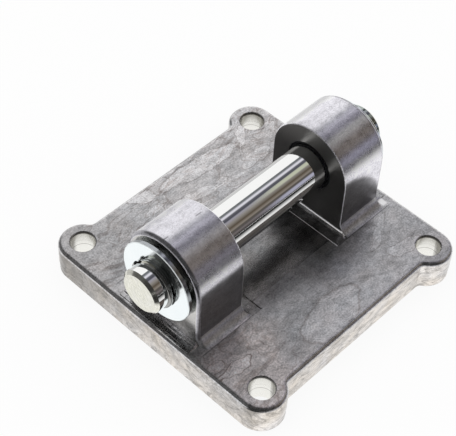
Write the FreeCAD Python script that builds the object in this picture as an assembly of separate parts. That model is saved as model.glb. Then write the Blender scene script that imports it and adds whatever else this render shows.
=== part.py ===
"""Rear clevis mount for a pneumatic cylinder, in millimetres.

A die-cast flange plate with two ears carries a plain pin in two bushes.
X runs along the pin, +Z away from the cylinder, and the origin is the centre
of the mounting face on the underside of the plate.
"""
import FreeCAD, Part
import os
from math import asin, cos, radians, sin

# Screw holes of the flange plate
HOLE_PITCH = 103.0
SCREW_HOLE_D = 11.0
CORED_HOLE_D = 11.6
HOLE_EDGE_BREAK = 0.3
LOBE_WALL = 5.0

# Flange plate
PLATE_T = 15.0
PARTING_HEIGHT = 5.0
PARTING_STEP = 0.2
WAIST_SETBACK = 5.75
NECK_R = 3.0
RIM_ROUND = 1.8
FOOT_ROUND = 0.4

# Pin and bushes
PIN_D = 20.0
PIN_HEIGHT = 41.0
PIN_CLEARANCE = 0.04
PIN_CHAMFER = 1.4
PIN_OVERHANG = 6.9
# The pin lies pushed towards its near end, within its end play
PIN_REST_X = -1.0
BUSH_WALL = 1.5
BUSH_RECESS = 0.5
BUSH_BORE_CHAMFER = 0.3

# Ears
EAR_GAP = 60.0
EAR_T = 25.0
EAR_WALL = 8.5
FLARE_R = 5.0
INNER_EDGE_ROUND = 0.5
OUTER_EDGE_ROUND = 1.8
# Reach beyond the outer ear face and height above the plate of each milled ledge
MILLED_LEDGES = ((0.8, 1.6), (2.2, 0.8), (4.4, 0.3))
POCKET_REACH = 6.4
POCKET_DEPTH = 0.4
POCKET_CORNER_R = 1.7

# Washers and snap rings
WASHER_D = 36.5
WASHER_BORE_PLAY = 1.4
WASHER_T = 1.7
WASHER_EDGE_BREAK = 0.3
WASHER_TOP_GAP = 0.1
# The near washer hangs free of its ear, and the far one lies on its ear
NEAR_WASHER_OFF = 2.0
RING_WIRE_D = 2.0
RING_SEAT_DEPTH = 1.0
RING_SEAT_PLAY = 0.05
RING_END_PLAY = 1.8
# Span of the ring's opening and the angle of its middle, counted from +Y towards +Z
RING_OPENING_DEG = 72.0
RING_OPENING_AT_DEG = 64.0

# Places that follow from the sizes above
PIN_R = PIN_D / 2
BUSH_R = PIN_R + BUSH_WALL
EAR_R = BUSH_R + EAR_WALL
EAR_INNER = EAR_GAP / 2
EAR_OUTER = EAR_INNER + EAR_T
LOBE_R = SCREW_HOLE_D / 2 + LOBE_WALL
WASHER_BORE_R = (PIN_D + WASHER_BORE_PLAY) / 2
WASHER_HANG = WASHER_BORE_R - PIN_R - WASHER_TOP_GAP
WIRE_R = RING_WIRE_D / 2
SEAT_R = WIRE_R + RING_SEAT_PLAY
RING_X = EAR_OUTER + WASHER_T + RING_END_PLAY + WIRE_R
RING_R = PIN_R - RING_SEAT_DEPTH + SEAT_R
PIN_HALF = RING_X + PIN_OVERHANG
ALONG_PIN = FreeCAD.Vector(1, 0, 0)
UP = FreeCAD.Vector(0, 0, 1)
TOUCH = 1e-4


def point(x, y, z):
    return FreeCAD.Vector(x, y, z)


def line(start, end):
    return Part.LineSegment(start, end).toShape()


def arc(start, middle, end):
    return Part.Arc(start, middle, end).toShape()


def face(edges):
    return Part.Face(Part.Wire(edges))


def about_pin(radius, angle_deg, x=0.0):
    """A point round the pin axis, with the angle counted from +Y towards +Z."""
    angle = radians(angle_deg)
    return point(x, radius * cos(angle), PIN_HEIGHT + radius * sin(angle))


def ring_solid(inner_r, outer_r, start_x, length):
    """A plain ring round the pin axis, from start_x towards +X."""
    base = point(start_x, 0, PIN_HEIGHT)
    outer = Part.makeCylinder(outer_r, length, base, ALONG_PIN)
    return outer.cut(Part.makeCylinder(inner_r, length, base, ALONG_PIN))


def round_edges(solid, radius, wanted):
    """Round the edges for which wanted(edge) is true."""
    return solid.makeFillet(radius, [edge for edge in solid.Edges if wanted(edge)])


def edge_at_x(edge, x):
    box = edge.BoundBox
    return abs(box.XMin - x) < TOUCH and abs(box.XMax - x) < TOUCH


def edge_at_z(edge, z):
    box = edge.BoundBox
    return abs(box.ZMin - z) < TOUCH and abs(box.ZMax - z) < TOUCH


def mirrored(solid):
    """The same piece at the other end of the pin."""
    return solid.mirror(point(0, 0, 0), ALONG_PIN)


def plate_outline(z, inset):
    """Flange outline: four lobes, two straight sides and two waisted sides."""
    centre = HOLE_PITCH / 2
    lobe_r = LOBE_R - inset
    side = centre + lobe_r
    waist = centre + LOBE_R - WAIST_SETBACK - inset
    neck_r = NECK_R + inset
    neck_angle = asin((waist + neck_r - centre) / (lobe_r + neck_r))
    neck_x = centre - (lobe_r + neck_r) * cos(neck_angle)
    half_turn = (radians(180) - neck_angle) / 2

    def quarter(sx, sy):
        """Edges from the straight side round one lobe to the middle of the waisted side."""
        def at(x, y):
            return point(sx * x, sy * y, z)

        def on_lobe(angle):
            return at(centre + lobe_r * cos(angle), centre + lobe_r * sin(angle))

        def on_neck(angle):
            return at(neck_x + neck_r * cos(angle), waist + neck_r - neck_r * sin(angle))

        join = on_lobe(radians(180) - neck_angle)
        neck_middle = (neck_angle + radians(90)) / 2
        return [
            line(at(side, 0), at(side, centre)),
            arc(at(side, centre), on_lobe(half_turn), join),
            arc(join, on_neck(neck_middle), at(neck_x, waist)),
            line(at(neck_x, waist), at(0, waist)),
        ]

    edges = quarter(1, 1) + quarter(-1, 1) + quarter(-1, -1) + quarter(1, -1)
    return Part.Face(Part.Wire(Part.__sortEdges__(edges)))


def plate():
    """The plate in two heights that meet at the parting line of the mould."""
    lower = plate_outline(0, PARTING_STEP).extrude(UP * PARTING_HEIGHT)
    upper = plate_outline(PARTING_HEIGHT, 0).extrude(UP * (PLATE_T - PARTING_HEIGHT))
    lower = round_edges(lower, FOOT_ROUND, lambda edge: edge_at_z(edge, 0))
    upper = round_edges(upper, RIM_ROUND, lambda edge: edge_at_z(edge, PLATE_T))
    return upper.fuse(lower)


def ear_section(x, inset=0.0):
    """An ear seen along the pin: a round top, straight sides and flared feet."""
    inside = PLATE_T / 2
    ear_r = EAR_R - inset
    flare_r = FLARE_R + inset
    foot = ear_r + flare_r
    foot_z = PLATE_T - inset
    bend = flare_r * (1 - cos(radians(45)))

    def flare(side):
        """The flared foot on one side, from the plate up to the straight side."""
        return arc(
            point(x, side * foot, foot_z),
            point(x, side * (ear_r + bend), foot_z + bend),
            point(x, side * ear_r, foot_z + flare_r),
        )

    return face([
        line(point(x, -foot, inside), point(x, -foot, foot_z)),
        flare(-1),
        line(point(x, -ear_r, foot_z + flare_r), about_pin(ear_r, 180, x)),
        arc(about_pin(ear_r, 180, x), about_pin(ear_r, 90, x), about_pin(ear_r, 0, x)),
        line(about_pin(ear_r, 0, x), point(x, ear_r, foot_z + flare_r)),
        flare(1),
        line(point(x, foot, foot_z), point(x, foot, inside)),
        line(point(x, foot, inside), point(x, -foot, inside)),
    ])


def ear():
    """One ear with the edges of its two faces rounded, before the bore."""
    body = ear_section(EAR_INNER).extrude(ALONG_PIN * EAR_T)

    def above_plate(edge, x):
        return edge_at_x(edge, x) and edge.BoundBox.ZMin > PLATE_T - TOUCH

    body = round_edges(body, INNER_EDGE_ROUND, lambda edge: above_plate(edge, EAR_INNER))
    return round_edges(body, OUTER_EDGE_ROUND, lambda edge: above_plate(edge, EAR_OUTER))


def foot_strip(start_x, length, inset, top_z):
    """A strip of the ear's foot that runs from start_x towards +X and ends at top_z."""
    width = 2 * (EAR_R + FLARE_R)
    strip = ear_section(start_x, inset).extrude(ALONG_PIN * length)
    return strip.common(Part.makeBox(length, width, top_z, point(start_x, -width / 2, 0)))


def milled_ledges():
    """Low ledges that the cutter leaves at the foot of an ear's outer face."""
    return [
        foot_strip(EAR_OUTER, reach, OUTER_EDGE_ROUND, PLATE_T + height)
        for reach, height in MILLED_LEDGES
    ]


def milled_pocket():
    """What the cutter takes off the plate at the foot of an ear's inner face."""
    half = EAR_R + FLARE_R
    return Part.makeBox(
        POCKET_REACH, 2 * half, POCKET_DEPTH,
        point(EAR_INNER - POCKET_REACH, -half, PLATE_T - POCKET_DEPTH))


def pocket_corner():
    """The rounded corner that the cutter leaves between its floor and the ear."""
    start_x = EAR_INNER - POCKET_CORNER_R
    centre_z = PLATE_T - POCKET_DEPTH + POCKET_CORNER_R
    half = EAR_R + FLARE_R
    strip = foot_strip(start_x, POCKET_CORNER_R, INNER_EDGE_ROUND, centre_z)
    cutter = Part.makeCylinder(
        POCKET_CORNER_R, 2 * half, point(start_x, -half, centre_z), FreeCAD.Vector(0, 1, 0))
    return strip.cut(cutter)


def screw_hole(x, y):
    """A screw hole cored from both sides, with its edges broken."""
    top_r = SCREW_HOLE_D / 2
    foot_r = CORED_HOLE_D / 2
    chamfer = HOLE_EDGE_BREAK
    upper = Part.makeCylinder(top_r, PLATE_T, point(x, y, 0), UP)
    lower = Part.makeCylinder(foot_r, PARTING_HEIGHT, point(x, y, 0), UP)
    rim = Part.makeCone(top_r, top_r + chamfer, chamfer, point(x, y, PLATE_T - chamfer), UP)
    foot = Part.makeCone(foot_r + chamfer, foot_r, chamfer, point(x, y, 0), UP)
    return upper.fuse([lower, rim, foot])


def bracket():
    """The casting: plate, ears, milled floors, bush bores and screw holes."""
    pocket = milled_pocket()
    right_ear = ear()
    solid = plate().cut([pocket, mirrored(pocket)]).fuse([right_ear, mirrored(right_ear)])
    for piece in milled_ledges() + [pocket_corner()]:
        solid = solid.fuse([piece, mirrored(piece)])
    bore = Part.makeCylinder(
        BUSH_R, 2 * EAR_OUTER, point(-EAR_OUTER, 0, PIN_HEIGHT), ALONG_PIN)
    solid = solid.cut(bore)
    half = HOLE_PITCH / 2
    holes = [screw_hole(x, y) for x in (-half, half) for y in (-half, half)]
    return solid.cut(holes).removeSplitter()


def bush():
    """A plain bush, a little shorter than the ear's bore and with its bore's edges broken."""
    bore_r = PIN_R + PIN_CLEARANCE
    length = EAR_T - 2 * BUSH_RECESS
    sleeve = ring_solid(bore_r, BUSH_R, EAR_INNER + BUSH_RECESS, length)
    bore_edges = [edge for edge in sleeve.Edges
                  if edge_at_x(edge, EAR_INNER + BUSH_RECESS) or edge_at_x(edge, EAR_OUTER - BUSH_RECESS)
                  if abs(edge.BoundBox.YMax - bore_r) < TOUCH]
    return sleeve.makeChamfer(BUSH_BORE_CHAMFER, bore_edges)


def ring_seat(x):
    """The half-round groove that a snap ring sits in."""
    return Part.makeTorus(RING_R, SEAT_R, point(x, 0, PIN_HEIGHT), ALONG_PIN)


def clevis_pin():
    """The ground pin with a chamfer and a ring seat at each end."""
    body = Part.makeCylinder(PIN_R, 2 * PIN_HALF, point(-PIN_HALF, 0, PIN_HEIGHT), ALONG_PIN)
    ends = [edge for edge in body.Edges if edge_at_x(edge, PIN_HALF) or edge_at_x(edge, -PIN_HALF)]
    return body.makeChamfer(PIN_CHAMFER, ends).cut([ring_seat(RING_X), ring_seat(-RING_X)])


def washer():
    """A flat washer that hangs on the pin and lies on the ear's outer face."""
    solid = ring_solid(WASHER_BORE_R, WASHER_D / 2, EAR_OUTER, WASHER_T)
    front = [edge for edge in solid.Edges if edge_at_x(edge, EAR_OUTER + WASHER_T)]
    return solid.makeChamfer(WASHER_EDGE_BREAK, front).translated(point(0, 0, -WASHER_HANG))


def snap_ring():
    """An open round-wire ring in the pin's groove."""
    start = RING_OPENING_AT_DEG + RING_OPENING_DEG / 2
    along_wire = about_pin(1, start + 90) - about_pin(0, 0)
    wire = Part.Wire(Part.makeCircle(WIRE_R, about_pin(RING_R, start, RING_X), along_wire))
    section = Part.Face(wire)
    return section.revolve(
        point(RING_X, 0, PIN_HEIGHT), ALONG_PIN, 360 - RING_OPENING_DEG)


def build():
    """All pieces by name, the near end of the pin at -X and the far end at +X."""
    pin_place = ALONG_PIN * PIN_REST_X
    far_bush = bush()
    far_washer = washer()
    far_ring = snap_ring()
    return {
        "bracket": bracket(),
        "clevis_pin": clevis_pin().translated(pin_place),
        "far_bush": far_bush,
        "near_bush": mirrored(far_bush),
        "far_washer": far_washer,
        "near_washer": mirrored(far_washer).translated(ALONG_PIN * -NEAR_WASHER_OFF),
        "far_snap_ring": far_ring.translated(pin_place),
        "near_snap_ring": mirrored(far_ring).translated(pin_place),
    }


os.makedirs("parts", exist_ok=True)
for node, shape in build().items():
    shape.exportStep("parts/" + node + ".step")
    print(node, "valid", shape.isValid(), "solids", len(shape.Solids), "volume", round(shape.Volume, 1))
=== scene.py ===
"""Looks of the rear clevis mount: finishes, studio and camera."""
from math import cos, radians, sin
from types import SimpleNamespace

import bpy
from mathutils import Matrix, Vector


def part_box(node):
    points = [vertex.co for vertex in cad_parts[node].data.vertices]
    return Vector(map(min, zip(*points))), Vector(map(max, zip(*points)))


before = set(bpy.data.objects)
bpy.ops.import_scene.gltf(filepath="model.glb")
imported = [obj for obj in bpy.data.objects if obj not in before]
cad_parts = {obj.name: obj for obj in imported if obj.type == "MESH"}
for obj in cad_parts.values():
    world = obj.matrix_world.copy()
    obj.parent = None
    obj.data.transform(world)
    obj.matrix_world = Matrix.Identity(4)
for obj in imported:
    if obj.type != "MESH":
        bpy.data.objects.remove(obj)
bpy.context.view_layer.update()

# Camera, fitted to the hole pattern, the ears and the pin of the photograph
PHOTO_WIDTH = 456
FOCAL_PIXELS = 1380.2
SENSOR_WIDTH = 36.0
VIEW_AZIMUTH = -48.207
VIEW_ELEVATION = 48.893
VIEW_ROLL = 3.111
VIEW_DISTANCE = 0.581
AIM = Vector((-0.00273, 0.01438, 0.02160))

# Sizes of the pieces, in millimetres
TO_MM = 1000.0
PLATE_T = 15.0
HOLE_PITCH = 103.0
EAR_GAP = 60.0
EAR_T = 25.0
EAR_R = 20.0
FLARE_R = 5.0
POCKET_REACH = 6.4
WASHER_EDGE_BREAK = 0.3

# Places of the pin and the near washer, read off their pieces in model.glb
pin_low, pin_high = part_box("clevis_pin")
washer_low, washer_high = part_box("near_washer")
PIN_HEIGHT = (pin_low.z + pin_high.z) / 2 * TO_MM
WASHER_HEIGHT = (washer_low.z + washer_high.z) / 2 * TO_MM
WASHER_R = washer_high.y * TO_MM
WASHER_FRONT_X = washer_low.x * TO_MM

# Places on the bracket that follow from its sizes
HOLE_AT = HOLE_PITCH / 2
EAR_INNER = EAR_GAP / 2
EAR_OUTER = EAR_INNER + EAR_T
FOOT_HALF_WIDTH = EAR_R + FLARE_R
POCKET_EDGE = EAR_INNER - POCKET_REACH

# Places where a finish changes, in millimetres
RIM_START_Z = PLATE_T - 2.2
HOLE_EDGE_R = 6.0
HOLE_LIP_Z = PLATE_T - 1.4
CORE_SEAM_Z = 7.1
UPPER_RIDGE_Z = 9.5
TAB_EDGE = 28.5
TAB_MIDDLE_Y, TAB_HALF_LENGTH = -22.0, 3.2
FOOT_MIDDLE_X, FOOT_HALF_LENGTH = 40.0, 17.0
LEDGE_END_X, LEDGE_END_Y = 56.3, 22.0
FAR_TIP_X = 57.5

# Nicks on the near ear's crown, in millimetres: middle along X and half length
NICKS = ((-52.5, 1.2), (-35.0, 1.5))
NICK_Y = 0.8
CROWN_Z = 55.0

# Soft fields of painted shade, in millimetres: middle and half lengths
UNDER_PIN_AT, UNDER_PIN_HALF = (4.0, -10.0), (26.0, 22.0)
FLANK_SHADE_AT, FLANK_SHADE_HALF = (28.0, PLATE_T), (28.0, 29.0)

# Level direction that the painted lit part of each screw hole's wall faces; the rest of the wall is painted
# in shade
BRIGHT_WALL_X, BRIGHT_WALL_Y = -0.745, -0.667

# Tone of the casting's skin before any mark
SKIN_TONE = 0.62

# Side of the floor, in metres
FLOOR_SIZE = 6.0

# How white the floor is where it is mirrored, by its place along Y in millimetres
FLOOR_TONES = (
    (-300.0, 0.03), (-250.0, 0.12), (-140.0, 0.50), (-125.0, 0.70), (-85.0, 0.80), (-65.0, 1.0),
    (75.0, 1.0), (105.0, 0.62), (120.0, 0.62),
)

# How far the flow marks' outlines wander along X and Y, in millimetres
SWAY_X, SWAY_Y = 16.0, 7.0

# Softness up to which a flow mark has a thin dark outline
CRISP = 0.15

# Flow marks on the plate's top: centre, half lengths along X and Y, slope, tone and softness
FLOW_MARKS = (
    ((13.0, 48.2), (20.5, 4.4), -0.10, 0.13, 0.08),
    ((-17.5, 52.0), (6.5, 3.4), -0.25, 0.11, 0.08),
    ((14.0, 54.6), (27.0, 0.6), 0.00, 0.08, 0.10),
    ((-17.5, 43.0), (7.5, 1.5), 0.00, 0.10, 0.10),
    ((41.5, 48.0), (6.0, 2.8), 0.65, 0.13, 0.10),
    ((52.0, 43.0), (7.0, 2.6), 0.05, 0.07, 0.10),
    ((4.0, 36.6), (12.5, 2.0), -0.12, 0.11, 0.10),
    ((19.0, 33.0), (10.0, 0.9), -0.20, 0.10, 0.10),
    ((38.0, 35.0), (9.0, 2.8), 0.10, 0.09, 0.10),
    ((10.0, 53.4), (22.0, 0.7), 0.03, -0.07, 0.30),
    ((4.0, 45.4), (16.0, 1.4), -0.12, -0.07, 0.30),
    ((-24.0, 51.5), (5.0, 0.8), -0.80, -0.06, 0.30),
    ((-4.0, -47.0), (17.0, 8.0), 0.10, 0.06, 0.15),
    ((23.0, -46.5), (16.0, 0.9), -0.46, -0.08, 0.20),
    ((43.0, -44.5), (9.5, 3.5), -0.05, 0.11, 0.10),
    ((42.0, -32.0), (11.0, 2.2), 0.45, 0.09, 0.12),
    ((-12.0, -30.0), (7.0, 4.0), 0.00, 0.07, 0.50),
    ((-28.0, -46.0), (6.0, 7.0), 0.00, -0.12, 0.50),
    ((-18.0, -38.0), (12.0, 4.0), 0.00, -0.08, 0.50),
    ((-45.0, -40.0), (11.0, 7.0), 0.00, -0.07, 0.50),
    ((-51.0, -38.5), (9.5, 2.5), -0.10, 0.15, 0.15),
    ((-58.0, -32.5), (4.0, 1.8), 0.00, 0.08, 0.10),
    ((-44.0, -34.0), (9.0, 1.3), -0.50, -0.11, 0.20),
)


class Value:
    """A shader socket that takes part in sums and products."""

    def __init__(self, shader, socket):
        self.shader = shader
        self.socket = socket

    def math(self, operation, *inputs):
        return self.shader.node("ShaderNodeMath", {"operation": operation}, dict(enumerate(inputs)))

    def __add__(self, other):
        return self.math("ADD", self, other)

    __radd__ = __add__

    def __sub__(self, other):
        return self.math("SUBTRACT", self, other)

    def __rsub__(self, other):
        return self.math("SUBTRACT", other, self)

    def __mul__(self, other):
        return self.math("MULTIPLY", self, other)

    __rmul__ = __mul__

    def __truediv__(self, other):
        return self.math("DIVIDE", self, other)

    def __abs__(self):
        return self.math("ABSOLUTE", self)

    def __pow__(self, other):
        return self.math("POWER", self, other)

    def above(self, edge, softness):
        """Runs smoothly from 0 to 1 as the value passes the edge."""
        return self.shader.node(
            "ShaderNodeMapRange", {"interpolation_type": "SMOOTHSTEP"},
            {"Value": self, "From Min": edge - softness, "From Max": edge + softness})

    def near(self, centre, reach, softness):
        """1 within reach of the centre, and 0 away from it."""
        return 1 - abs(self - centre).above(reach, softness)


class Shader:
    """The nodes of one material or of the world."""

    def __init__(self, tree):
        self.tree = tree

    def node(self, kind, settings=None, inputs=None, output=0):
        made = self.tree.nodes.new(kind)
        for key, value in (settings or {}).items():
            if key == "stops":
                self.set_stops(made.color_ramp, value)
            else:
                setattr(made, key, value)
        for key, value in (inputs or {}).items():
            self.feed(made.inputs[key], value)
        return Value(self, made.outputs[output])

    def feed(self, socket, value):
        if isinstance(value, Value):
            self.tree.links.new(value.socket, socket)
        elif isinstance(value, tuple) and socket.type == "RGBA":
            socket.default_value = (*value, 1.0)
        else:
            socket.default_value = value

    def set_stops(self, ramp, stops):
        while len(ramp.elements) < len(stops):
            ramp.elements.new(1.0)
        for element, (place, colour) in zip(ramp.elements, stops):
            element.position = place
            element.color = (*colour, 1.0)

    def ramp(self, factor, stops):
        return self.node("ShaderNodeValToRGB", {"stops": stops}, {"Fac": factor})

    def mix(self, factor, first, second):
        """One colour over another. The sockets of a colour mix are its last ones."""
        return self.node("ShaderNodeMix", {"data_type": "RGBA"}, {0: factor, 6: first, 7: second}, output=2)

    def place(self):
        """Place on the piece at rest, in millimetres, and its three parts."""
        metres = self.node("ShaderNodeTexCoord", output="Object")
        scaled = self.node("ShaderNodeVectorMath", {"operation": "SCALE"}, {0: metres, "Scale": TO_MM})
        return scaled, self.split(scaled)

    def facing(self):
        """The three parts of the surface normal of the piece at rest."""
        return self.split(self.node("ShaderNodeTexCoord", output="Normal"))

    def split(self, vector):
        made = self.node("ShaderNodeSeparateXYZ", None, {0: vector})
        return [Value(self, socket) for socket in made.socket.node.outputs]

    def join(self, x, y, z):
        return self.node("ShaderNodeCombineXYZ", None, {0: x, 1: y, 2: z})

    def noise(self, vector, size, detail=3.0, roughness=0.5, distortion=0.0, output=0):
        """Noise whose blobs are about size millimetres across."""
        return self.node(
            "ShaderNodeTexNoise", None,
            {"Vector": vector, "Scale": 1 / size, "Detail": detail,
             "Roughness": roughness, "Distortion": distortion}, output=output)

    def stretched(self, vector, x, y, z):
        """The place with each part divided by a length ratio, which draws patterns out along it."""
        return self.node("ShaderNodeVectorMath", {"operation": "DIVIDE"}, {0: vector, 1: (x, y, z)})

    def bump(self, height, depth_mm):
        return self.node(
            "ShaderNodeBump", None,
            {"Height": height, "Distance": depth_mm / TO_MM, "Strength": 1.0})

    def ray(self, question):
        """What Light Path says of the ray that asks, such as Is Glossy Ray."""
        return self.node("ShaderNodeLightPath", output=question)


def finish(name):
    """A new metal or plastic finish: its material, its shader and its surface sockets."""
    material = bpy.data.materials.new(name)
    material.use_nodes = True
    surface = material.node_tree.nodes["Principled BSDF"].inputs
    return material, Shader(material.node_tree), surface


def grey(level):
    return (level, level, level)


def radius(across, along):
    return (across ** 2 + along ** 2) ** 0.5


def oval(across, along, half_lengths):
    """Distance from the middle of an oval, with 1 on its outline."""
    half_across, half_along = half_lengths
    return radius(across / half_across, along / half_along)


def on_bracket(shader):
    """Where a point of the bracket lies, which way it faces and which main zones hold it."""
    place, (x, y, z) = shader.place()
    face_x, face_y, face_z = shader.facing()
    upright = 1 - abs(face_z).above(0.15, 0.1)
    on_plate = 1 - z.above(PLATE_T + 0.1, 0.05)
    off_underside = z.above(PLATE_T - 1.0, 0.3)
    return SimpleNamespace(
        place=place, x=x, y=y, z=z, face_x=face_x, face_y=face_y, face_z=face_z,
        upright=upright,
        on_plate=on_plate,
        off_underside=off_underside,
        at_foot=(1 - z.above(PLATE_T + 0.5, 0.2)) * off_underside,
        plate_side=upright * on_plate,
        plate_top=on_plate * z.above(PLATE_T - 0.6, 0.05) * face_z.above(0.95, 0.04),
        on_ear=z.above(PLATE_T + 2.0, 2.0),
        far_half=x.above(0.0, 1.0),
    )


def screw_holes(at):
    """The walls of the four screw holes."""
    across = abs(at.x) - HOLE_AT
    along = abs(at.y) - HOLE_AT
    return (1 - (across ** 2 + along ** 2).above(HOLE_EDGE_R ** 2, 0.5)) * at.upright


def milled_face(at, distance):
    """The flat faces of both ears at one distance from the middle."""
    return abs(at.x).near(distance, 0.05, 0.02) * abs(at.face_x).above(0.97, 0.01)


def rounded_edges(at):
    """The inner and the outer rounded edges of the ears, which carry a painted highlight and a painted dark
    reflection.
    """
    edge = abs(at.face_x).near(0.5, 0.42, 0.04) * at.on_ear
    inner = edge * (1 - abs(at.x).above(EAR_INNER + 2.0, 0.2))
    return inner, edge - inner


def painted_edge_glints(at):
    """A painted highlight line along the inner edges of the ears."""
    line = abs(at.x).near(EAR_INNER + 0.35, 0.15, 0.10) * at.on_ear
    return line * abs(at.face_x).near(0.7, 0.28, 0.02)


def painted_ear_highlights(at):
    """Painted highlights on the lit +Y part of the ears' round tops and on the bend above their -Y sides.
    """
    lit_top = at.on_ear * at.face_y.above(0.45, 0.10) * at.face_z.above(0.15, 0.1)
    return lit_top + at.on_ear * at.face_y.near(-0.93, 0.05, 0.06)


def painted_flank_shade(at):
    """Painted shade on the -Y sides of the ears, apart from the lit upper corner of the far one."""
    flank_shade_oval = oval(at.x - FLANK_SHADE_AT[0], at.z - FLANK_SHADE_AT[1], FLANK_SHADE_HALF)
    lit_corner = at.far_half * flank_shade_oval.above(1.0, 0.05)
    return at.on_ear * (1 - at.face_y.above(-0.985, 0.012)) * (1 - lit_corner)


def flares(at):
    """The hollow flares where the ears' sides run into the plate."""
    return at.z.near(PLATE_T + FLARE_R / 2, FLARE_R / 2, 0.6) * abs(at.y).above(EAR_R + 0.3, 0.3)


def painted_shade_under_pin(at):
    """Painted shade on the plate's top under the pin."""
    along_x = at.x.near(UNDER_PIN_AT[0], UNDER_PIN_HALF[0], 11.0)
    along_y = at.y.near(UNDER_PIN_AT[1], UNDER_PIN_HALF[1], 9.0)
    return along_x * along_y * at.off_underside


def painted_rim_highlight(at):
    """A painted highlight: a paler line along the plate's rounded rim."""
    return at.face_z.near(0.80, 0.03, 0.03) * at.z.above(RIM_START_Z, 0.1) * at.on_plate


def painted_glints(at):
    """Painted highlights: bright lines along the far milled pocket, and a bright spot at one end of each
    ear's ledge.
    """
    pocket_edge = abs(at.x).near(POCKET_EDGE, 0.15, 0.12) * abs(at.y).near(0.0, FOOT_HALF_WIDTH, 0.2)
    pocket_corner = at.face_x.near(-0.90, 0.085, 0.02) * at.z.near(PLATE_T + 0.5, 0.9, 0.1)
    pocket_corner = pocket_corner * at.x.near(EAR_INNER - 1.0, 1.2, 0.1)
    ledge_end = abs(at.x).near(LEDGE_END_X, 1.4, 0.4) * abs(at.y).near(LEDGE_END_Y, 1.8, 0.5)
    ledge_end = ledge_end * (1 - at.z.above(PLATE_T + 3.0, 0.3)) * (1 - at.upright) * at.off_underside
    ledge_end = ledge_end * (1 - (at.x * at.y).above(0.0, 1.0)) * (0.4 + at.far_half * 0.6)
    return pocket_edge * at.far_half * at.at_foot * 0.8 + pocket_corner + ledge_end


def painted_step_shadows(at):
    """Painted shadow lines: thin dark lines at the ends of the ears' feet and along a small tab beside the
    near one.
    """
    foot_ends = abs(at.y).near(FOOT_HALF_WIDTH, 0.20, 0.15)
    foot_ends = foot_ends * abs(at.x).near(FOOT_MIDDLE_X, FOOT_HALF_LENGTH, 0.5)
    tab_sides = at.x.near(-POCKET_EDGE, 0.15, 0.12) + at.x.near(-TAB_EDGE, 0.15, 0.12)
    return (foot_ends + tab_sides * at.y.near(TAB_MIDDLE_Y, TAB_HALF_LENGTH, 0.3)) * at.at_foot


def nicks(at):
    """Two small nicks on the crown of the near ear."""
    along = sum(at.x.near(middle, half_length, 0.6) for middle, half_length in NICKS)
    return at.y.near(NICK_Y, 0.25, 0.3) * along * at.z.above(CROWN_Z, 1.0)


def flow_marks(shader, at):
    """The flow marks on the plate's top: their tone and the thin line round each crisp one."""
    sway = shader.noise(at.place, 9.0, roughness=0.45, output="Color")
    sway_x, sway_y, _ = shader.split(sway)
    along_x = at.x + (sway_x - 0.5) * SWAY_X
    along_y = at.y + (sway_y - 0.5) * SWAY_Y
    tone = 0
    line = 0
    for (centre_x, centre_y), half_lengths, slope, strength, softness in FLOW_MARKS:
        over = along_x - centre_x
        spread = oval(over, along_y - centre_y - over * slope, half_lengths)
        tone = (1 - spread.above(1.0, softness)) * strength + tone
        if softness <= CRISP:
            line = spread.near(1.06, 0.03, 0.06) + line
    return tone, line


def casting_veins(shader, at):
    """Thin veins of the casting, faint in the calm field of the plate's top."""
    veins = shader.noise(shader.stretched(at.place, 3.0, 1.5, 1.0), 9.0, distortion=0.8)
    calm_field = at.x.above(-30.0, 8.0) * (1 - at.y.above(24.0, 8.0))
    lines = veins.near(0.5, 0.010, 0.015) + veins.near(0.58, 0.006, 0.012)
    return lines * (1 - calm_field * at.plate_top * 0.8)


def casting_texture(shader, at):
    """The fine grain and the coarser mottle of the skin, and the change of tone that they make."""
    grain = shader.noise(at.place, 0.75, detail=2.0, roughness=0.7)
    mottle = shader.noise(shader.stretched(at.place, 1.5, 1.0, 1.0), 3.0, roughness=0.65)
    cloud = shader.noise(shader.stretched(at.place, 2.5, 1.0, 1.0), 14.0)
    change = (grain - 0.5) * (1.6 - at.on_ear * 0.7 - at.plate_side * 0.8)
    change = change + (mottle - 0.5) * (0.8 + at.plate_top * 0.6)
    change = change + (cloud - 0.5) * (0.5 + at.plate_top * 0.2)
    return grain, mottle, change


def shade_plate_sides(shader, at, level, vein):
    """The tone with painted shade and light on the plate's sides: darker towards +Y and lighter towards the
    bottom on the -X one, paler at its -Y corner.
    """
    left_side = at.plate_side * (1 - at.face_x.above(-0.9, 0.05))
    level = level * (1 - left_side * (0.16 + at.y.above(25.0, 30.0) * 0.46)) + at.plate_side * 0.05
    front_corner = at.plate_side * at.face_x.near(-0.45, 0.35, 0.10) * (1 - at.face_y.above(0.0, 0.2))
    level = level * (1 + left_side * (1 - at.z.above(5.0, 6.0)) * 0.22 + front_corner * 0.25)
    patch = shader.noise(shader.stretched(at.place, 1.0, 1.0, 0.6), 8.0, detail=2.0, distortion=1.0)
    patches = (patch.above(0.5, 0.04) - 0.65) * at.plate_side * 0.22
    return level * (1 - vein * at.plate_side * 0.30 + patches)


def tint_skin(shader, at, level, browned):
    """The tone as a colour, with a tint of its own on the plate's top, its sides and the ears."""
    def tinted(red, green, blue):
        return shader.join(level * red, level * green, level * blue)

    warmth = (shader.noise(at.place, 11.0) - 0.5) * 0.35
    top = tinted(1.01 + warmth * 0.3, 0.99 - browned, 1.0 - warmth * 0.2 - browned * 1.5)
    side = tinted(1.02 + warmth * 0.4, 0.96, 0.90 - warmth * 0.6)
    skin = shader.mix(at.plate_side, top, side)
    return shader.mix(at.on_ear, skin, tinted(1.0, 0.985, 1.05))


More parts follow.
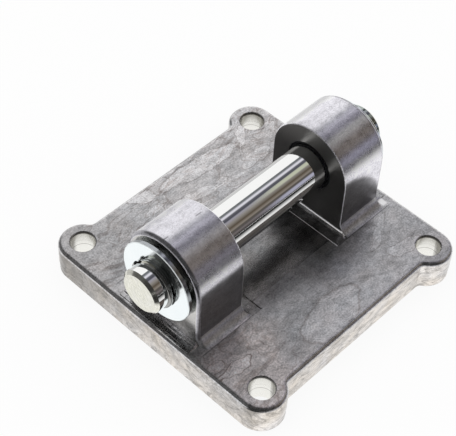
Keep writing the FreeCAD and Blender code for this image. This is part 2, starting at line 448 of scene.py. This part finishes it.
def skin_colour(shader, at, texture, painted_gleam, edge_glint):
    """Colour of the casting where it isn't milled."""
    inner_edge_highlight, outer_edge_shade = rounded_edges(at)
    flank_shade = painted_flank_shade(at)
    vein = casting_veins(shader, at)
    tone, line = flow_marks(shader, at)
    brown_corner = (1 - at.x.above(-30.0, 10.0)) * (1 - at.y.above(-24.0, 6.0)) * at.plate_top
    left_field = (1 - at.x.above(-28.0, 0.4)) * at.y.above(26.0, 3.0)
    line = line * (1 + brown_corner * 1.6)

    plate_marks = tone * 1.3 - line * 0.20 - left_field * 0.09 - vein * 0.12
    level = SKIN_TONE + plate_marks * at.plate_top - vein * 0.07
    level = level + painted_ear_highlights(at) * 0.24 + brown_corner * 0.11
    # Painted shade under the pin and on the ears' -Y sides
    level = level * (1 - painted_shade_under_pin(at) * 0.42) * (1 - flank_shade * 0.52)
    # Painted light: the ears lighter outside their shaded sides, the far ear more so
    level = level * (1 + at.on_ear * (1 - flank_shade) * (0.18 + at.far_half * 0.12))
    level = level * (1 + texture) * (1 + painted_rim_highlight(at) * 0.35)
    # Painted dark reflection on the ears' outer edges, and painted shadow lines at the feet and the tab
    level = level * (1 - outer_edge_shade * 0.35) * (1 - painted_step_shadows(at) * 0.5)
    # Dark nicks, and a painted highlight on the ears' inner edges
    level = level * (1 - nicks(at) * 0.6) + inner_edge_highlight * 0.28
    level = shade_plate_sides(shader, at, level, vein)
    # Painted highlights: bright spots and lines at the ears' feet, and a light line on the ears' inner
    # edges
    level = level * (1 - painted_gleam) + painted_gleam * 0.95 + edge_glint * 0.15
    browned = (line + vein) * at.plate_top * 0.05 + brown_corner * 0.05
    return tint_skin(shader, at, level, browned)


def milled_colour(shader, at, outer_cut, cutter_marks):
    """Milled faces with painted shade and light: dark inner faces of the ears, lighter near their tops, and
    pale outer faces.
    """
    inner = shader.mix(cutter_marks, (0.24, 0.235, 0.23), (0.34, 0.335, 0.33))
    inner = shader.mix(at.z.above(50.0, 8.0) * 0.8, inner, (0.72, 0.71, 0.69))
    outer = shader.mix(cutter_marks, (0.50, 0.49, 0.48), (0.64, 0.63, 0.61))
    return shader.mix(outer_cut, inner, outer)


def hole_colour(shader, at, cutter_marks):
    """Pale walls of the screw holes with one painted lit part, painted shade elsewhere, painted shade lines
    at two fine ridges and a painted dark lip.
    """
    wall = shader.mix(cutter_marks, (0.84, 0.83, 0.77), (0.97, 0.96, 0.93))
    painted_lit_wall = (at.face_x * BRIGHT_WALL_X + at.face_y * BRIGHT_WALL_Y).above(0.66, 0.18)
    # Painted shade lines at the core seam and at a fine ridge above it
    ridges = at.z.near(CORE_SEAM_Z, 0.15, 0.15) * 0.7 + at.z.near(UPPER_RIDGE_Z, 0.10, 0.15) * 0.35
    wall = shader.mix((1 - painted_lit_wall) * 0.85 + ridges, wall, (0.22, 0.21, 0.19))
    return shader.mix(at.z.above(HOLE_LIP_Z, 0.4), wall, (0.08, 0.075, 0.07))


def die_cast_aluminium():
    """Grey die-cast skin with flow marks and painted edge highlights, milled faces and pale screw holes."""
    material, shader, surface = finish("die_cast_aluminium")
    at = on_bracket(shader)
    inner_cut = milled_face(at, EAR_INNER)
    outer_cut = milled_face(at, EAR_OUTER)
    milled = inner_cut + outer_cut
    painted_gleam = painted_glints(at)
    edge_glint = painted_edge_glints(at)
    grain, mottle, texture = casting_texture(shader, at)
    cutter_marks = shader.noise(shader.join(at.x, at.y * 0.25, at.z * 6.0), 1.0, detail=2.0)

    skin = skin_colour(shader, at, texture, painted_gleam, edge_glint)
    skin = shader.mix(milled, skin, milled_colour(shader, at, outer_cut, cutter_marks))
    skin = shader.mix(screw_holes(at), skin, hole_colour(shader, at, cutter_marks))
    shader.feed(surface["Base Color"], skin)
    # The painted highlights are less metallic, so that they show pale
    shader.feed(surface["Metallic"], 1 - painted_gleam - edge_glint * (1 - painted_gleam) * 0.7)
    rough = 0.20 + at.on_ear * 0.08 + at.upright * 0.08 + flares(at) * 0.22
    rough = rough + painted_gleam * 0.45 + (mottle - 0.5) * 0.1
    shader.feed(surface["Roughness"], rough * (1 - milled) + milled * 0.2 + inner_cut * 0.12)
    relief = grain * (0.35 - at.on_ear * 0.2) + mottle * 0.50
    relief = relief * (1 - milled) + cutter_marks * milled * 0.1
    shader.feed(surface["Normal"], shader.bump(relief, 0.05))
    return material


def ground_steel():
    """Bright ground steel: fine rings round the pin and turning marks on its ends, and painted shade on the
    far tip.
    """
    material, shader, surface = finish("ground_steel")
    place, (x, y, z) = shader.place()
    face_x = shader.facing()[0]
    end = abs(face_x).above(0.5, 0.3)
    turning = shader.noise(shader.join(radius(y, z - PIN_HEIGHT) * 2.2, abs(x), 0.0), 1.0)
    scratch = shader.noise(shader.join(y * 0.5 + z, y * 3.0 - z * 3.0, 0.0), 2.5, detail=4.0, roughness=0.7)
    scuffs = ((turning - 0.5) * 0.5 + (scratch - 0.5) * 0.9) * end
    grinding = shader.noise(shader.join(x * 14.0, y * 0.4, z * 0.4), 1.0, detail=2.0)
    blotch = shader.noise(place, 4.0, detail=2.0)
    bright = shader.mix(blotch, (1.0, 0.99, 0.97), (0.97, 0.95, 0.80))
    end_tone = shader.mix(scuffs * 1.3 + 0.6, (0.45, 0.45, 0.38), bright)
    # Painted shade: the far tip of the pin darker
    barrel = shader.mix(x.above(FAR_TIP_X, 0.5), (0.93, 0.93, 0.92), (0.40, 0.44, 0.42))
    shader.feed(surface["Base Color"], shader.mix(end, barrel, end_tone))
    shader.feed(surface["Metallic"], 1.0)
    shader.feed(surface["Roughness"], 0.03 + grinding * 0.02 + end * 0.14)
    height = grinding * (1 - end) * 0.10 + turning * end
    shader.feed(surface["Normal"], shader.bump(height, 0.008))
    return material


def zinc_plate():
    """Blue-white zinc, with painted shade greying the near washer's rim and a painted highlight along its
    broken edge.
    """
    material, shader, surface = finish("zinc_plate")
    place, (x, y, z) = shader.place()
    flat = (abs(shader.facing()[0]) + x.above(0.0, 1.0)).above(0.45, 0.1)
    painted_edge_highlight = radius(y, z - WASHER_HEIGHT).near(WASHER_R - 0.25, 0.20, 0.08)
    painted_edge_highlight = painted_edge_highlight * (1 - x.above(WASHER_FRONT_X + WASHER_EDGE_BREAK, 0.05))
    cloud = shader.noise(place, 6.0)
    fine = shader.noise(place, 0.6)
    plated = shader.mix(cloud, (0.88, 0.94, 0.955), (0.95, 0.99, 1.0))
    # Painted shade on the near washer's rim
    shader.feed(surface["Base Color"], shader.mix(flat, (0.42, 0.44, 0.46), plated))
    shader.feed(surface["Metallic"], 1 - painted_edge_highlight * 0.6)
    shader.feed(surface["Roughness"], 0.15 + (fine - 0.5) * 0.1)
    shader.feed(surface["Normal"], shader.bump(fine, 0.003))
    return material


def spring_wire():
    """Dull drawn wire of the snap rings."""
    material, shader, surface = finish("spring_wire")
    place, _ = shader.place()
    fine = shader.noise(place, 0.5)
    shader.feed(surface["Base Color"], shader.mix(fine, (0.30, 0.30, 0.29), (0.42, 0.42, 0.41)))
    shader.feed(surface["Metallic"], 1.0)
    shader.feed(surface["Roughness"], 0.2 + (fine - 0.5) * 0.1)
    return material


def bush_liner():
    """Matte, nearly black bearing material."""
    material, shader, surface = finish("bush_liner")
    place, _ = shader.place()
    fine = shader.noise(place, 0.4)
    shader.feed(surface["Base Color"], shader.mix(fine, (0.005, 0.005, 0.006), (0.014, 0.014, 0.016)))
    shader.feed(surface["Specular IOR Level"], 0.15)
    shader.feed(surface["Roughness"], 0.5 + (fine - 0.5) * 0.15)
    shader.feed(surface["Normal"], shader.bump(fine, 0.02))
    return material


def dress_pieces():
    """Gives each piece of the part its finish."""
    finishes = {
        "bracket": die_cast_aluminium(),
        "clevis_pin": ground_steel(),
        "bush": bush_liner(),
        "washer": zinc_plate(),
        "snap_ring": spring_wire(),
    }
    for name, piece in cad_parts.items():
        kind = name.replace("near_", "").replace("far_", "")
        piece.data.materials.clear()
        piece.data.materials.append(finishes[kind])


def bands(shader, angle, rows):
    """Colours by degrees round the pin's direction, from +Y at 0 over the top to -Y at 180."""
    return shader.ramp(angle / 180, [(degrees / 180, colour) for degrees, colour in rows])


def overhead_panels(shader, angle, x):
    """A white sweep behind the part, then light and dark panels over it and towards -Y."""
    panels = bands(shader, angle, (
        (0, grey(0.98)), (57, grey(0.98)), (66, (0.16, 0.17, 0.18)), (70, (0.16, 0.17, 0.18)),
        (75, (0.66, 0.65, 0.72)), (81, (0.75, 0.74, 0.81)), (87, (0.12, 0.12, 0.14)),
        (98, (0.07, 0.07, 0.09)), (104, (0.33, 0.32, 0.37)), (118, (0.26, 0.24, 0.22)),
        (134, (0.09, 0.07, 0.05)), (146, (0.25, 0.22, 0.19)), (152, (0.09, 0.08, 0.07)),
        (160, (0.10, 0.09, 0.09)), (165, (0.17, 0.15, 0.15)), (172, (0.09, 0.08, 0.08)),
        (180, grey(0.03)),
    ))
    to_the_right = x.above(0.518, 0.014)
    far_right = x.above(0.56, 0.015)
    panels = shader.mix(angle.near(108.0, 8.0, 4.0) * to_the_right, panels, (0.52, 0.54, 0.42))
    panels = shader.mix(angle.near(168.0, 8.0, 4.0) * to_the_right, panels, (0.40, 0.40, 0.50))
    return shader.mix(far_right * angle.near(100.0, 20.0, 10.0) * 0.45, panels, (0.30, 0.28, 0.36))


def dark_room(shader, angle):
    """A dark room, paler along the floor."""
    return bands(shader, angle, (
        (0, grey(0.6)), (4, grey(0.12)), (60, grey(0.10)), (84, grey(0.04)), (165, grey(0.03)),
        (176, grey(0.15)), (180, grey(0.6)),
    ))


def studio_light():
    """Plain white light all round, with surroundings that only gloss mirrors.

    Towards +X, gloss mirrors the sweep and the panels, and the other way it mirrors the dark
    room. What is mirrored a second time is darker.
    """
    world = bpy.data.worlds.new("studio")
    bpy.context.scene.world = world
    world.use_nodes = True
    shader = Shader(world.node_tree)
    x, y, z = shader.split(shader.node("ShaderNodeTexCoord", output="Generated"))
    angle = shader.node("ShaderNodeMath", {"operation": "ARCTAN2"}, {0: z, 1: y}) / radians(1)
    panels = overhead_panels(shader, angle, x)
    mirrored_sky = shader.mix(x.above(0.20, 0.18), dark_room(shader, angle), panels)
    # In the world this depth is 2 after one mirror and 3 after two
    mirrored_twice = shader.ray("Ray Depth").above(2.5, 0.1)
    mirrored_sky = shader.mix(mirrored_twice * 0.5, mirrored_sky, grey(0.0))
    background = world.node_tree.nodes["Background"].inputs
    shader.feed(background["Color"], shader.mix(shader.ray("Is Glossy Ray"), grey(1.0), mirrored_sky))


def white_sheet():
    """White that keeps a soft shadow and is mirrored white up to its near edge."""
    material = bpy.data.materials.new("pale_floor")
    material.use_nodes = True
    shader = Shader(material.node_tree)
    lit = shader.node("ShaderNodeBsdfDiffuse", None, {"Color": grey(0.9)})
    seen_straight = shader.ray("Is Camera Ray") + shader.ray("Is Transmission Ray")
    mirrored = shader.ray("Is Glossy Ray")
    _, (x, y, _) = shader.place()
    nearest, farthest = FLOOR_TONES[0][0], FLOOR_TONES[-1][0]
    sheet = shader.ramp((y - nearest) / (farthest - nearest), [
        ((at_y - nearest) / (farthest - nearest), grey(level)) for at_y, level in FLOOR_TONES])
    dark_corner = (1 - x.above(-75.0, 10.0)) * (1 - y.above(-45.0, 10.0))
    shown = shader.mix(mirrored * dark_corner, shader.mix(mirrored, grey(1.0), sheet), grey(0.03))
    glow = shader.node("ShaderNodeEmission", None, {"Color": shown, "Strength": 1.0})
    share = seen_straight * 0.9 + mirrored
    output = material.node_tree.nodes["Material Output"].inputs["Surface"]
    shader.feed(output, shader.node("ShaderNodeMixShader", None, {0: share, 1: lit, 2: glow}))
    return material


def pale_floor():
    """A wide white floor under the part."""
    bpy.ops.mesh.primitive_plane_add(size=FLOOR_SIZE)
    floor = bpy.context.object
    floor.name = "floor"
    floor.data.materials.append(white_sheet())


def camera():
    """The photograph's viewpoint."""
    lens = bpy.data.cameras.new("camera")
    lens.sensor_width = SENSOR_WIDTH
    lens.lens = FOCAL_PIXELS / PHOTO_WIDTH * SENSOR_WIDTH
    azimuth, elevation, roll = (radians(a) for a in (VIEW_AZIMUTH, VIEW_ELEVATION, VIEW_ROLL))
    back = Vector((sin(azimuth) * cos(elevation), -cos(azimuth) * cos(elevation), sin(elevation)))
    level = Vector((cos(azimuth), sin(azimuth), 0))
    right = level * cos(roll) + back.cross(level) * sin(roll)
    turn = Matrix((right, back.cross(right), back)).transposed()
    eye = bpy.data.objects.new("camera", lens)
    eye.matrix_world = Matrix.Translation(AIM + back * VIEW_DISTANCE) @ turn.to_4x4()
    bpy.context.scene.collection.objects.link(eye)
    bpy.context.scene.camera = eye


dress_pieces()
studio_light()
pale_floor()
camera()
bpy.context.scene.view_settings.view_transform = "Standard"
